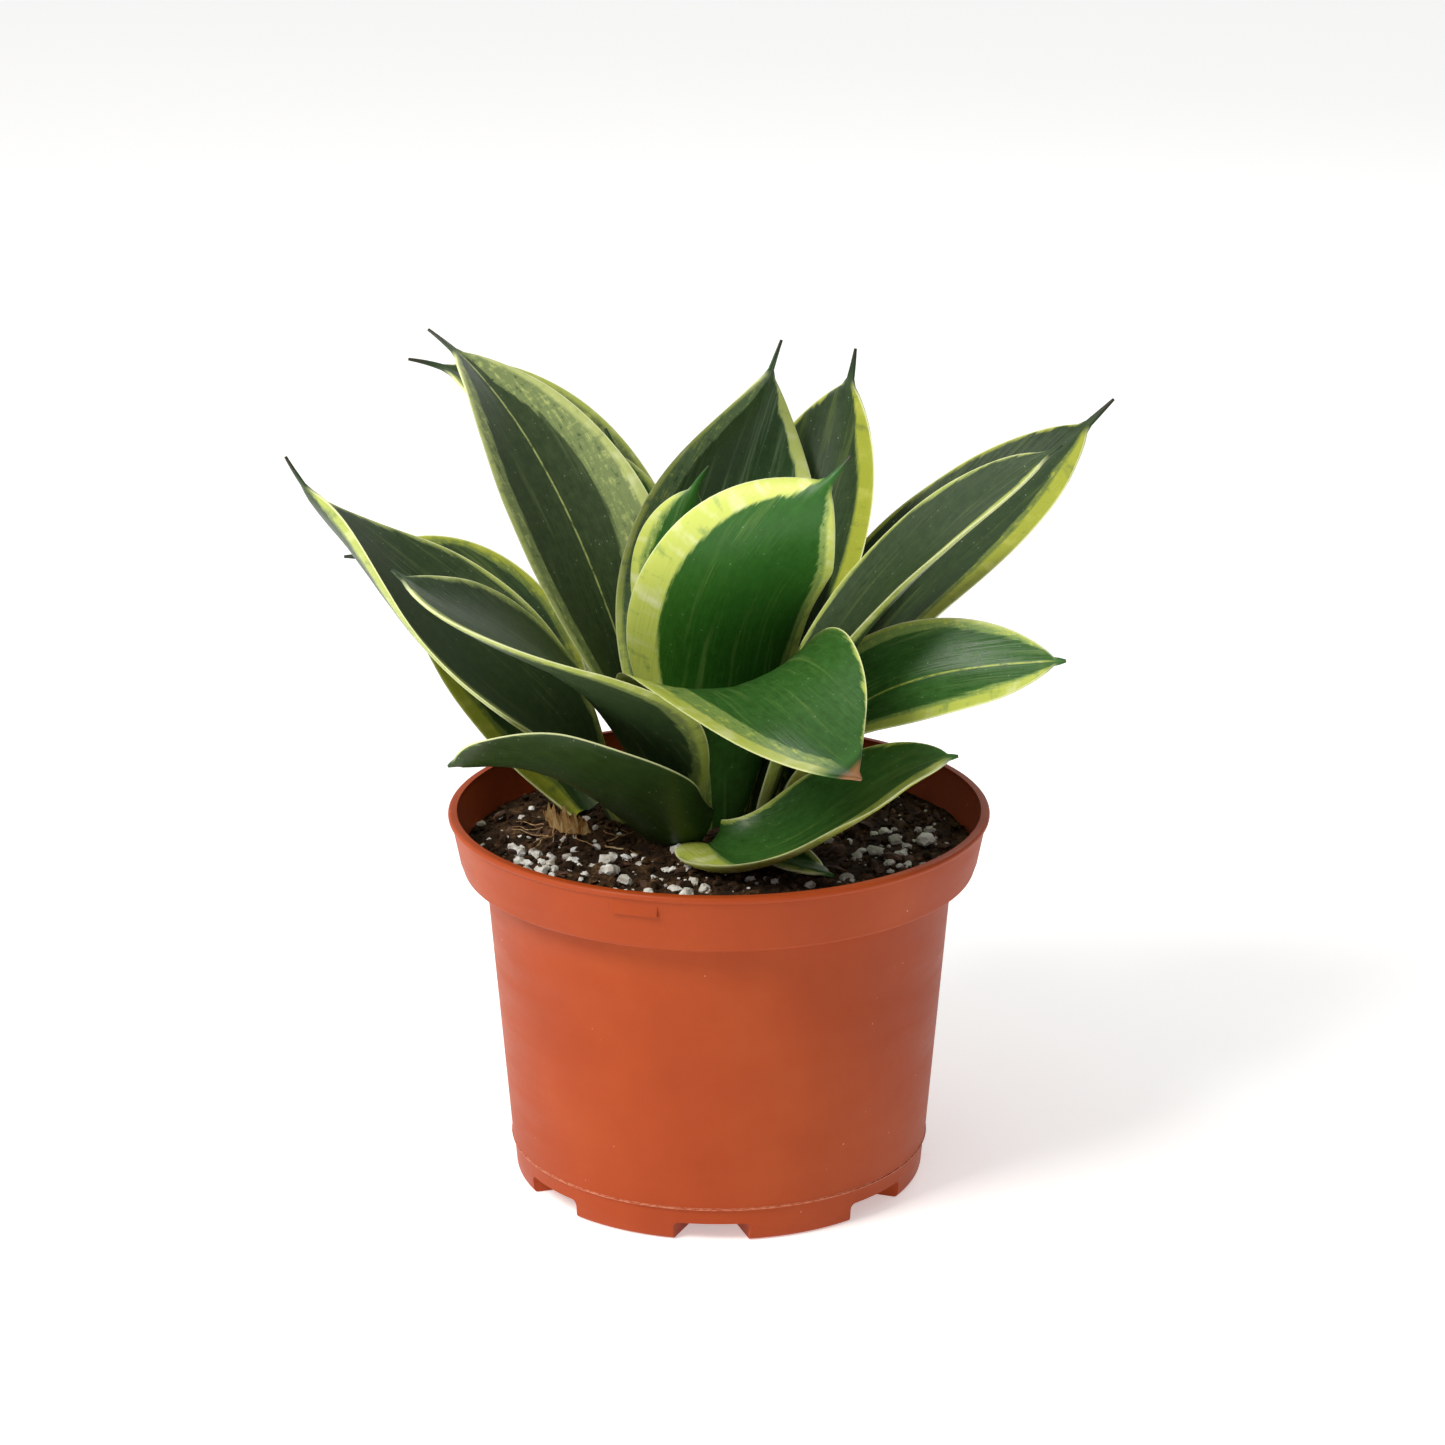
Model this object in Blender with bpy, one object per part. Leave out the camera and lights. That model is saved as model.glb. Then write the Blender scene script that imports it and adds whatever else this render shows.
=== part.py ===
"""A young bird's-nest snake plant in a moulded plastic nursery pot.

Sizes are in millimetres and are turned to metres where a mesh is made.
The frame: +Z up, the origin at the centre of the pot's flat foot, -Y towards the plant's front.
"""

import math

import bmesh
import bpy
import numpy as np
from mathutils import Matrix, Vector, noise

MM = 0.001

# ---------------------------------------------------------------- the pot
POT_HEIGHT = 107.0
RIM_RADIUS = 76.0  # a six inch pot
COLLAR_HEIGHT = 17.0  # the wider band under the rim
COLLAR_TAPER = 3.0
COLLAR_STEP = 6.5  # how far the collar stands out from the wall below it
WALL_TAPER = 7.5
WALL = 1.3
FLOOR = 1.6
LIP_HEIGHT = 2.0
LIP_PROUD = 0.9
SEAM_HEIGHT = 10.0  # the mould's parting line
SEAM_STEP = 0.4
POT_SEGMENTS = 84

# the foot: channels run in under it, each with a drain hole at its inner end
CHANNELS = 7
CHANNEL_MOUTH = 22.0
CHANNEL_END = 12.0
CHANNEL_DEPTH = 15.0
CHANNEL_HEIGHT = 5.2
CHANNEL_ROUND = 1.5
FIRST_CHANNEL = -92.0  # degrees
DRAIN_RADIUS = 3.0

# a plain moulded tab on the collar
TAB_AT = -106.0  # degrees
TAB_WIDTH = 13.0
TAB_HEIGHT = 4.6
TAB_PROUD = 0.5

# ---------------------------------------------------------------- soil and crowns
GAP = 0.3  # between pieces that touch
FREEBOARD = 11.0  # from the rim down to the soil
SOIL_MOUND = 1.5
SOIL_LUMPS = 0.9
SOIL_RINGS = 9
CROWN_DEPTH = 16.0
CROWN_RISE = 2.0
MAIN_CROWN = (1.0, 8.0)
MAIN_CROWN_RADIUS = 23.0
PUP_CROWN = (-38.0, 11.0)
PUP_CROWN_RADIUS = 9.5

# the dry scale left round the side shoot's base
SHEATH_FROM = 190.0  # degrees round the pup crown
SHEATH_TO = 280.0
SHEATH_HEIGHT = 9.0
SHEATH_FLARE = 1.5
SHEATH_THICKNESS = 0.6

# ---------------------------------------------------------------- leaves
LEAF_THICKNESS = 2.0
LEAF_LIFT = 0.45  # from the crown to a leaf's foot
MARGIN_SHARE = 0.5  # of that thickness, at a leaf's edge
TROUGH = (70.0, 40.0, 30.0)  # half angle of the trough at foot, middle and tip, in degrees
LEAF_ROWS = 16
LEAF_COLUMNS = 6
SPIKE_START = 0.93  # share of the length where the blade ends in its spike
SPIKE_HALF_WIDTH = 1.3

POT_WALL_TOP = RIM_RADIUS - LIP_PROUD - COLLAR_TAPER - COLLAR_STEP
FOOT_RADIUS = POT_WALL_TOP - WALL_TAPER
SOIL_TOP = POT_HEIGHT - FREEBOARD
LEAF_FOOT = SOIL_TOP + CROWN_RISE + LEAF_LIFT

# Each leaf: where it stands (x, y from the pot's axis), its length and greatest width, then
# three or four angles in degrees from foot to tip: the way it heads, how steeply it rises
# and how far it rolls about its midrib. "neck" is the foot's share of the width, "widest"
# the share of the length where it is broadest and "spike" the share where its spike starts.
LEAVES = {
    "leaf_back_left_tall": dict(
        foot=(-13, 14), length=162, width=49, heading=(146, 140, 144), rise=(69, 59, 25), roll=(8, -15, 7)
    ),
    "leaf_back_left_outer": dict(
        foot=(-8, 25), length=162, width=49, heading=(131, 137, 186), rise=(50, 59, 10), roll=(1, -4, -31)
    ),
    "leaf_centre_back": dict(
        foot=(2, 16), length=139, width=61, heading=(152, 66, 39), rise=(77, 68, 64), roll=(-77, 32, 116)
    ),
    "leaf_back_right_tall": dict(
        foot=(6, 21), length=137, width=50, heading=(58, 53, 33), rise=(75, 61, 82), roll=(-1, 5, 25)
    ),
    "leaf_centre_front": dict(
        foot=(-4, 4), length=134, width=56, heading=(-49, -66, 29), rise=(90, 61, 45),
        roll=(-74, -13, -157)
    ),
    "leaf_heart": dict(
        foot=(1, 7), length=108, width=35, heading=(181, 177, 184), rise=(86, 79, 127), roll=(69, 65, 103)
    ),
    "leaf_right_long": dict(
        foot=(12, 21), length=158, width=46, heading=(22, 26, 18), rise=(65, 40, 42), roll=(13, 16, 40)
    ),
    "leaf_right_upper": dict(
        foot=(12, 6), length=142, width=40, heading=(-17, 0, 0), rise=(76, 53, 33),
        roll=(25, 7, 30), spike=0.965
    ),
    "leaf_right_lower": dict(
        foot=(21, 5), length=105, width=37, heading=(-19, -15, -12), rise=(95, 29, 7),
        roll=(15, 39, 60), spike=0.975
    ),
    "leaf_front_folded": dict(
        foot=(-3, 0), length=122, width=64, heading=(-100, -75, -62, -23), rise=(81, 53, -5, -21),
        roll=(-6, 1, 9, 12), widest=0.55, spike=0.99
    ),
    "leaf_front_right_low": dict(
        foot=(-3, -12), length=86, width=41, heading=(-82, 4, -4), rise=(-9, 33, 9),
        roll=(31, 7, 17), neck=0.5, spike=0.975
    ),
    "leaf_front_left_low": dict(
        foot=(-7, -9), length=80, width=39, heading=(-137, -168, -184), rise=(28, 31, -23),
        roll=(46, 31, 52), widest=0.4, neck=0.6, spike=0.98
    ),
    "leaf_left_long": dict(
        foot=(-30, 11), length=144, width=55, heading=(-139, -175, -168), rise=(65, 44, 63),
        roll=(-16, -23, 29)
    ),
    "leaf_left_upper": dict(
        foot=(-13, -1), length=130, width=52, heading=(-132, -140, -189), rise=(79, 38, 40),
        roll=(9, -7, -16), spike=0.97
    ),
    "leaf_left_outer": dict(
        foot=(-38, 18), length=106, width=47, heading=(150, 158, 179), rise=(46, 54, -3),
        roll=(-32, -34, -33)
    ),
    "leaf_back_centre": dict(
        foot=(-5, 23), length=114, width=32, heading=(113, 120, 134), rise=(60, 64, 55), roll=(7, -8, 5)
    ),
    "leaf_back_low_left": dict(
        foot=(-3, 31), length=102, width=44, heading=(113, 121, 119), rise=(48, 28, 7), roll=(-25, -18, 3)
    ),
    "leaf_back_low_right": dict(
        foot=(10, 26), length=110, width=47, heading=(63, 58, 56), rise=(48, 33, 11), roll=(14, 7, -1)
    ),
    "leaf_front_tip": dict(
        foot=(9, -10), length=36, width=13, heading=(-58, -50, -45), rise=(5, -6, -23), roll=(15, 20, -4)
    ),
}


def blend(values, t):
    """A smooth run through values spaced evenly from foot to tip."""
    stations = np.linspace(0, 1, len(values))
    return np.polyval(np.polyfit(stations, values, len(values) - 1), t)


def clear_scene():
    for old in list(bpy.data.objects):
        bpy.data.objects.remove(old, do_unlink=True)


def paint(obj, name, colour, roughness):
    material = bpy.data.materials.new(name)
    material.use_nodes = True
    surface = material.node_tree.nodes["Principled BSDF"]
    surface.inputs["Base Color"].default_value = (*colour, 1.0)
    surface.inputs["Roughness"].default_value = roughness
    surface.inputs["Metallic"].default_value = 0.0
    obj.data.materials.append(material)


def add_object(name, bm, smooth=True):
    """Turn a bmesh in millimetres into an object in metres."""
    bmesh.ops.recalc_face_normals(bm, faces=bm.faces)
    for face in bm.faces:
        face.smooth = smooth
    bmesh.ops.scale(bm, vec=(MM, MM, MM), verts=bm.verts)
    mesh = bpy.data.meshes.new(name)
    bm.to_mesh(mesh)
    bm.free()
    obj = bpy.data.objects.new(name, mesh)
    bpy.context.scene.collection.objects.link(obj)
    return obj


def turned(name, profile, segments=POT_SEGMENTS):
    """A solid of revolution about Z from (radius, height) points, top to bottom."""
    bm = bmesh.new()
    corners = [bm.verts.new((radius, 0, height)) for radius, height in profile]
    edges = [bm.edges.new(pair) for pair in zip(corners, corners[1:])]
    bmesh.ops.spin(
        bm, geom=corners + edges, cent=(0, 0, 0), axis=(0, 0, 1), angle=math.tau, steps=segments,
        use_merge=True
    )
    bmesh.ops.remove_doubles(bm, verts=bm.verts, dist=0.001)
    return add_object(name, bm)


def as_cutter(obj):
    obj.hide_render = True
    obj.display_type = "WIRE"
    return obj


def cut(obj, cutter):
    boolean = obj.modifiers.new(cutter.name, "BOOLEAN")
    boolean.operation = "DIFFERENCE"
    boolean.solver = "EXACT"
    boolean.object = cutter


def join(obj, added):
    boolean = obj.modifiers.new(added.name, "BOOLEAN")
    boolean.operation = "UNION"
    boolean.solver = "EXACT"
    boolean.object = added


# ---------------------------------------------------------------- pot
def wall_profile(inset):
    """The pot's outer skin from the collar's top edge down to the foot, moved in by a distance."""
    shoulder = POT_HEIGHT - COLLAR_HEIGHT
    collar = RIM_RADIUS - LIP_PROUD
    return [
        (collar - inset, POT_HEIGHT - LIP_HEIGHT),
        (collar - COLLAR_TAPER + 0.6 - inset, shoulder + 3 + inset),
        (collar - COLLAR_TAPER - inset, shoulder + 1.2 + inset),
        (collar - COLLAR_TAPER - 1.2 - inset, shoulder + 0.2 + inset),
        (POT_WALL_TOP + 1.6 - inset, shoulder - 0.6 + inset),
        (POT_WALL_TOP - inset, shoulder - 2.6 + inset),
        (FOOT_RADIUS + 0.8 + SEAM_STEP - inset, SEAM_HEIGHT),
    ]


def channels(name, margin):
    """The drain channels as one cutter, grown by a margin."""
    bm = bmesh.new()
    for number in range(CHANNELS):
        mouth = FOOT_RADIUS + 4
        end = FOOT_RADIUS - CHANNEL_DEPTH - margin
        wide = CHANNEL_MOUTH / 2 + margin + 1.5
        narrow = CHANNEL_END / 2 + margin
        outline = [(mouth, -wide), (mouth, wide), (end + 4, narrow + 0.7), (end + 1, narrow - 0.8)]
        outline += [(end, narrow - 3), (end, 3 - narrow), (end + 1, 0.8 - narrow), (end + 4, -narrow - 0.7)]
        turn = Matrix.Rotation(math.radians(FIRST_CHANNEL + 360 / CHANNELS * number), 4, "Z")
        face = bm.faces.new([bm.verts.new(turn @ Vector((x, y, -2))) for x, y in outline])
        raised = bmesh.ops.extrude_face_region(bm, geom=[face])["geom"]
        top = [v for v in raised if isinstance(v, bmesh.types.BMVert)]
        bmesh.ops.translate(bm, verts=top, vec=(0, 0, CHANNEL_HEIGHT + margin + 2))
        rim = [e for e in raised if isinstance(e, bmesh.types.BMEdge)]
        bmesh.ops.bevel(bm, geom=rim, offset=CHANNEL_ROUND, segments=2, profile=0.5, affect="EDGES")
    return as_cutter(add_object(name, bm))


def drain_holes():
    bm = bmesh.new()
    reach = FOOT_RADIUS - CHANNEL_DEPTH + DRAIN_RADIUS + 2.5
    for number in range(CHANNELS):
        turn = Matrix.Rotation(math.radians(FIRST_CHANNEL + 360 / CHANNELS * number), 4, "Z")
        place = turn @ Matrix.Translation((reach, 0, CHANNEL_HEIGHT))
        bmesh.ops.create_cone(
            bm, cap_ends=True, segments=20, radius1=DRAIN_RADIUS, radius2=DRAIN_RADIUS, depth=6, matrix=place
        )
    return as_cutter(add_object("drain_holes", bm))


def moulded_tab():
    """A plain raised rectangle on the collar, just under the lip."""
    collar = RIM_RADIUS - LIP_PROUD
    bm = bmesh.new()
    depth = 1.6
    size = Matrix.Diagonal((depth, TAB_WIDTH, TAB_HEIGHT, 1))
    tilt = Matrix.Rotation(-math.atan(COLLAR_TAPER / COLLAR_HEIGHT), 4, "Y")
    turn = Matrix.Rotation(math.radians(TAB_AT), 4, "Z")
    place = Matrix.Translation((collar + TAB_PROUD - depth / 2 - 0.9, 0, POT_HEIGHT - LIP_HEIGHT - 3.4))
    bmesh.ops.create_cube(bm, size=1, matrix=turn @ place @ tilt @ size)
    return as_cutter(add_object("moulded_tab", bm, smooth=False))


def make_pot():
    rim_inside = RIM_RADIUS - LIP_PROUD - WALL
    outside = [
        (0, POT_HEIGHT),
        (rim_inside + 0.5, POT_HEIGHT),
        (RIM_RADIUS - 0.6, POT_HEIGHT),
        (RIM_RADIUS, POT_HEIGHT - 0.6),
        (RIM_RADIUS, POT_HEIGHT - LIP_HEIGHT + 0.5),
        (RIM_RADIUS - 0.4, POT_HEIGHT - LIP_HEIGHT),
    ]
    outside += wall_profile(0)
    outside += [
        (FOOT_RADIUS + 0.8, SEAM_HEIGHT - 0.4),
        (FOOT_RADIUS + 0.1, 1.0),
        (FOOT_RADIUS - 0.9, 0),
        (0, 0),
    ]
    inside = [(0, POT_HEIGHT + 4), (rim_inside, POT_HEIGHT + 4)] + wall_profile(WALL)
    inside += [(FOOT_RADIUS - WALL + 0.1, FLOOR + 1.2), (FOOT_RADIUS - WALL - 1, FLOOR), (0, FLOOR)]
    pot = turned("pot", outside)
    cavity = as_cutter(turned("pot_cavity", inside))
    cut(cavity, channels("channel_walls", WALL))
    cut(pot, channels("channels", 0))
    cut(pot, cavity)
    cut(pot, drain_holes())
    join(pot, moulded_tab())
    paint(pot, "terracotta_coloured_plastic", (0.42, 0.10, 0.035), 0.42)
    return pot


# ---------------------------------------------------------------- soil and crowns
def crown_profile(radius, inset):
    return [
        (0, SOIL_TOP + CROWN_RISE),
        (radius - 1.0, SOIL_TOP + CROWN_RISE),
        (radius, SOIL_TOP + CROWN_RISE - 1.0),
        (radius + inset, SOIL_TOP - 1),
        (radius * 0.8 + inset, SOIL_TOP - CROWN_DEPTH + 3 - inset),
        (radius * 0.55 + inset, SOIL_TOP - CROWN_DEPTH - inset),
        (0, SOIL_TOP - CROWN_DEPTH - inset),
    ]


def make_crown(name, centre, radius):
    crown = turned(name, crown_profile(radius, 0), 28)
    crown.location = (centre[0] * MM, centre[1] * MM, 0)
    paint(crown, "rhizome", (0.24, 0.16, 0.07), 0.7)
    return crown


def crown_socket(name, centre, radius):
    profile = [(0, SOIL_TOP + 9), (radius + GAP, SOIL_TOP + 9)] + crown_profile(radius, GAP)[3:]
    socket = as_cutter(turned(name, profile, 28))
    socket.location = (centre[0] * MM, centre[1] * MM, 0)
    return socket


def soil_height(x, y):
    """The lumpy surface: a low mound with noise, level near the pot's wall."""
    place = Vector((x, y, 0))
    lumps = noise.noise(place / 9) + 0.5 * noise.noise(place / 4 + Vector((7, 3, 0)))
    fall = min(1.0, (RIM_RADIUS - place.length) / 14)
    return SOIL_MOUND * (fall - 1) + SOIL_LUMPS * lumps * fall


def make_soil():
    inset = WALL + GAP
    wall = [point for point in wall_profile(inset) if point[1] < SOIL_TOP - 3]
    edge = wall[0][0] + 0.9
    rings = [(edge * share / SOIL_RINGS, SOIL_TOP) for share in range(SOIL_RINGS)]
    profile = rings + [(edge, SOIL_TOP - 0.3)] + wall
    profile += [(FOOT_RADIUS - inset, FLOOR + GAP + 1.4), (FOOT_RADIUS - inset - 1.2, FLOOR + GAP)]
    profile += [(0, FLOOR + GAP)]
    soil = turned("soil", profile, 56)
    for corner in soil.data.vertices:
        if corner.co.z > (SOIL_TOP - 0.1) * MM:
            corner.co.z += soil_height(corner.co.x / MM, corner.co.y / MM) * MM
    cut(soil, channels("channel_clearance", WALL + GAP))
    cut(soil, crown_socket("main_crown_socket", MAIN_CROWN, MAIN_CROWN_RADIUS))
    cut(soil, crown_socket("pup_crown_socket", PUP_CROWN, PUP_CROWN_RADIUS))
    paint(soil, "potting_mix", (0.045, 0.028, 0.018), 0.95)
    return soil


# ---------------------------------------------------------------- leaves
def leaf_course(leaf, rows):
    """Midrib points, the sideways direction and the upper face's normal, row by row."""
    share = np.linspace(0, 1, rows)
    heading = np.radians(blend(leaf["heading"], share))
    rise = np.radians(blend(leaf["rise"], share))
    roll = np.radians(blend(leaf["roll"], share))[:, None]
    along = np.stack([np.cos(rise) * np.cos(heading), np.cos(rise) * np.sin(heading), np.sin(rise)], 1)
    level = np.stack([-np.sin(heading), np.cos(heading), 0 * heading], 1)
    side = level * np.cos(roll) + np.cross(along, level) * np.sin(roll)
    steps = (along[1:] + along[:-1]) / 2 * leaf["length"] / (rows - 1)
    foot = np.array([*leaf["foot"], LEAF_FOOT])
    midrib = foot + np.vstack([np.zeros(3), np.cumsum(steps, axis=0)])
    return share, midrib, side, np.cross(along, side)


def half_width(leaf, share):
    """Half the blade's width: a narrow foot, a broad middle, a drawn-in tip and a thin spike."""
    widest = leaf.get("widest", 0.5)
    neck = leaf.get("neck", 0.3)
    blade_end = leaf.get("spike", SPIKE_START)
    swell = neck + (1 - neck) * np.sin(np.clip(share / widest, 0, 1) * math.pi / 2)
    narrowing = np.clip((share - widest) / (blade_end - widest), 0, 1)
    blade = np.where(share < widest, swell, (1 - narrowing**2) ** 0.75)
    spike = SPIKE_HALF_WIDTH * (1 - 0.7 * np.clip((share - blade_end) / (1 - blade_end), 0, 1))
    return np.maximum(leaf["width"] / 2 * blade, spike)


def make_leaf(name, leaf):
    """A trough-shaped blade: its middle surface, thickened by a Solidify that thins at the edges."""
    share, midrib, side, normal = leaf_course(leaf, LEAF_ROWS)
    halves = half_width(leaf, share)
    curls = np.radians(blend(TROUGH, share))
    bm = bmesh.new()
    weights = bm.verts.layers.deform.verify()
    rows = []
    for point, across, up, half, curl in zip(midrib, side, normal, halves, curls):
        row = []
        for column in range(LEAF_COLUMNS + 1):
            place = column / LEAF_COLUMNS * 2 - 1
            out = half * math.sin(curl * place) / curl
            lift = half * (1 - math.cos(curl * place)) / curl
            tilt = max(0.5, abs(up[2] * math.cos(curl * place) - across[2] * math.sin(curl * place)))
            spot = point + across * out + up * lift
            spot[2] = max(spot[2], LEAF_FOOT + LEAF_THICKNESS / 2 * tilt)
            vertex = bm.verts.new(Vector(spot))
            thick = 1 - (1 - MARGIN_SHARE) * abs(place) ** 3
            vertex[weights][0] = thick * min(1.0, 0.35 + half / 5)
            row.append(vertex)
        rows.append(row)
    for lower, upper in zip(rows, rows[1:]):
        for column in range(LEAF_COLUMNS):
            bm.faces.new([lower[column], lower[column + 1], upper[column + 1], upper[column]])
    obj = add_object(name, bm)
    obj.vertex_groups.new(name="thickness")
    solidify = obj.modifiers.new("thickness", "SOLIDIFY")
    solidify.thickness = LEAF_THICKNESS * MM
    solidify.offset = 0
    solidify.vertex_group = "thickness"
    paint(obj, "leaf_" + name, (0.05, 0.12, 0.035), 0.38)
    return obj


# ---------------------------------------------------------------- dry sheath
def make_sheath():
    """A papery scale that hugs the side shoot's crown, highest in the middle and flared on top."""
    bm = bmesh.new()
    steps, levels = 14, 5
    low = SOIL_TOP + SOIL_LUMPS + 0.5
    rows = []
    for level in range(levels + 1):
        row = []
        for step in range(steps + 1):
            share = step / steps
            height = SHEATH_HEIGHT * (0.3 + 0.7 * math.sin(math.pi * share) ** 0.6) * level / levels
            flare = SHEATH_FLARE * (level / levels) ** 2
            radius = PUP_CROWN_RADIUS + GAP + SHEATH_THICKNESS / 2 + 0.1 + flare
            angle = math.radians(SHEATH_FROM + (SHEATH_TO - SHEATH_FROM) * share)
            x = PUP_CROWN[0] + radius * math.cos(angle)
            y = PUP_CROWN[1] + radius * math.sin(angle)
            row.append(bm.verts.new((x, y, low + height)))
        rows.append(row)
    for lower, upper in zip(rows, rows[1:]):
        for step in range(steps):
            bm.faces.new([lower[step], lower[step + 1], upper[step + 1], upper[step]])
    sheath = add_object("dry_sheath", bm)
    solidify = sheath.modifiers.new("thickness", "SOLIDIFY")
    solidify.thickness = SHEATH_THICKNESS * MM
    solidify.offset = 0
    paint(sheath, "dry_scale", (0.35, 0.2, 0.08), 0.7)


clear_scene()
make_pot()
make_soil()
make_crown("crown_main", MAIN_CROWN, MAIN_CROWN_RADIUS)
make_crown("crown_pup", PUP_CROWN, PUP_CROWN_RADIUS)
make_sheath()
for leaf_name, leaf_sizes in LEAVES.items():
    make_leaf(leaf_name, leaf_sizes)
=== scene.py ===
import math

import bmesh
import bpy
import numpy as np
from mathutils import Matrix, Vector, noise


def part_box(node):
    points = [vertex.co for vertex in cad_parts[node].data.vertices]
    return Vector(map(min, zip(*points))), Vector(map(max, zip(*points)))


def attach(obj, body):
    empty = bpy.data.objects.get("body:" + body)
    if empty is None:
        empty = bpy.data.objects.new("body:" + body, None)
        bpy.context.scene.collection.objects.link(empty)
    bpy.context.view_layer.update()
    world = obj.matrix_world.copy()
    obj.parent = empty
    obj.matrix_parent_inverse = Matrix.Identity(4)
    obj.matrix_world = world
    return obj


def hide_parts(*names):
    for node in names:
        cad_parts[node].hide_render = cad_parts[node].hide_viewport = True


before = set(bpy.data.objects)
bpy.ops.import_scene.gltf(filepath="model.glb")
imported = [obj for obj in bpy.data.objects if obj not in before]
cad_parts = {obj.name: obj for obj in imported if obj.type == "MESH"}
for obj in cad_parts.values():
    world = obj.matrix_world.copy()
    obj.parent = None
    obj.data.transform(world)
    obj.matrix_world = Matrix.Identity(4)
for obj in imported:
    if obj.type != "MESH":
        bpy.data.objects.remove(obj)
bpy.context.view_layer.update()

# ------------------------------------------------------------------ camera, floor and light
# A product table: a matt white board under a big soft light from the upper left, a weaker one
# behind, and a pale room that is darker on the right. The camera looks down on the plant a little.
camera = bpy.data.objects.new("camera", bpy.data.cameras.new("camera"))
bpy.context.scene.collection.objects.link(camera)
bpy.context.scene.camera = camera
look_down = math.radians(17.8)
distance = 1.145
aim = Vector((0.001, 0, 0.1313))
camera.location = aim + Vector((0, -math.cos(look_down), math.sin(look_down))) * distance
camera.rotation_euler = (math.pi / 2 - look_down, 0, 0)
camera.data.sensor_width = 36
camera.data.lens = 102.2
camera.data.clip_start = 0.05


def linear(colour):
    """An sRGB hex colour as the linear values that a shader takes."""
    parts = [int(colour[i:i + 2], 16) / 255 for i in (1, 3, 5)]
    return (*[p / 12.92 if p <= 0.04045 else ((p + 0.055) / 1.055) ** 2.4 for p in parts], 1)


def settle(made, settings):
    """Give a shader node its settings: a property, an input's value or a socket linked to it.

    The setting "steps" gives a colour ramp's stops: pairs of a place and a hex colour.
    """
    for key, value in settings.items():
        if key == "steps":
            stops = made.color_ramp.elements
            while len(stops) < len(value):
                stops.new(0.5)
            for stop, (place, colour) in zip(stops, value):
                stop.position = place
                stop.color = linear(colour)
        elif isinstance(key, str) and hasattr(made, key):
            setattr(made, key, value)
        elif isinstance(value, bpy.types.NodeSocket):
            made.id_data.links.new(value, made.inputs[key])
        else:
            made.inputs[key].default_value = value


def node(tree, kind, settings, out=0):
    """Add a shader node with its settings and links, and give back one of its outputs."""
    made = tree.nodes.new("ShaderNode" + kind)
    settle(made, settings)
    return made.outputs[out]


def surface(name):
    """An empty material: its node tree and its surface shader."""
    material = bpy.data.materials.new(name)
    material.use_nodes = True
    return material, material.node_tree, material.node_tree.nodes["Principled BSDF"]


def lamp(name, place, power, colour):
    """A square soft box, 0.6 m wide, that faces the middle of the plant."""
    light = bpy.data.lights.new(name, "AREA")
    light.size = 0.6
    light.energy = power
    light.color = linear(colour)[:3]
    box = bpy.data.objects.new(name, light)
    box.location = place
    box.rotation_euler = (Vector((0, 0, 0.12)) - box.location).to_track_quat("-Z", "Y").to_euler()
    bpy.context.scene.collection.objects.link(box)


lamp("key_light", (-0.95, -0.75, 1.3), 21, "#FFFCF6")
lamp("rim_light", (0.5, 1.1, 1.0), 2.5, "#FFFFFF")

# painted board: matt, with a faint grain, and lit a little from below, as on a light table, so
# that the pot leaves only a soft shadow on it
board, tree, shader = surface("matt_white_board")
grain = node(tree, "TexNoise", {"Scale": 1000 / 1.1, "Detail": 3.0})
relief = node(tree, "Bump", {"Strength": 0.03, "Distance": 0.0002, "Height": grain})
settle(shader, {"Base Color": linear("#FAFAF9"), "Roughness": 0.85, "Normal": relief})
settle(shader, {"Emission Color": linear("#FFFFFF"), "Emission Strength": 0.4})
half = 6.0
sheet = bpy.data.meshes.new("floor")
corners = [(-half, -half, 0), (half, -half, 0), (half, half, 0), (-half, half, 0)]
sheet.from_pydata(corners, [], [(0, 1, 2, 3)])
floor = bpy.data.objects.new("floor", sheet)
floor.location.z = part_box("pot")[0][2] - 0.0002
floor.data.materials.append(board)
bpy.context.scene.collection.objects.link(floor)

# the room's walls look white, and their light falls off from the left to the right
world = bpy.data.worlds.new("pale_room")
world.use_nodes = True
tree = world.node_tree
seen = node(tree, "LightPath", {})
towards = node(tree, "SeparateXYZ", {0: node(tree, "TexCoord", {})})
side = node(tree, "MapRange", {0: towards, 1: -1.0, 2: 1.0, 3: 0.84, 4: 0.16})
strength = node(tree, "MapRange", {0: seen, 3: side, 4: 1.0})
settle(tree.nodes["Background"], {"Color": linear("#FFFFFF"), "Strength": strength})
bpy.context.scene.world = world
bpy.context.scene.view_settings.view_transform = "Standard"

# ------------------------------------------------------------------ nursery pot
# An injection-moulded polypropylene pot, coloured right through. It has a rolled lip, a wider
# collar to stack by, a tapering wall, a parting line low down and drain channels under its foot.
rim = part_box("pot")[1][0]
pot_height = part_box("pot")[1][2]
lip_proud = 0.0009
collar_height = 0.017
collar_taper = 0.003
collar_step = 0.0065
wall_taper = 0.0075
wall = 0.0013
base_thickness = 0.0016
edge_round = 0.0010
collar_round = 0.0012
step_round = 0.0022
channel_count = 7
first_channel = -92
channel_reach = 0.015
channel_height = 0.0052
drain_radius = 0.003
turn_steps = 216


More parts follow.
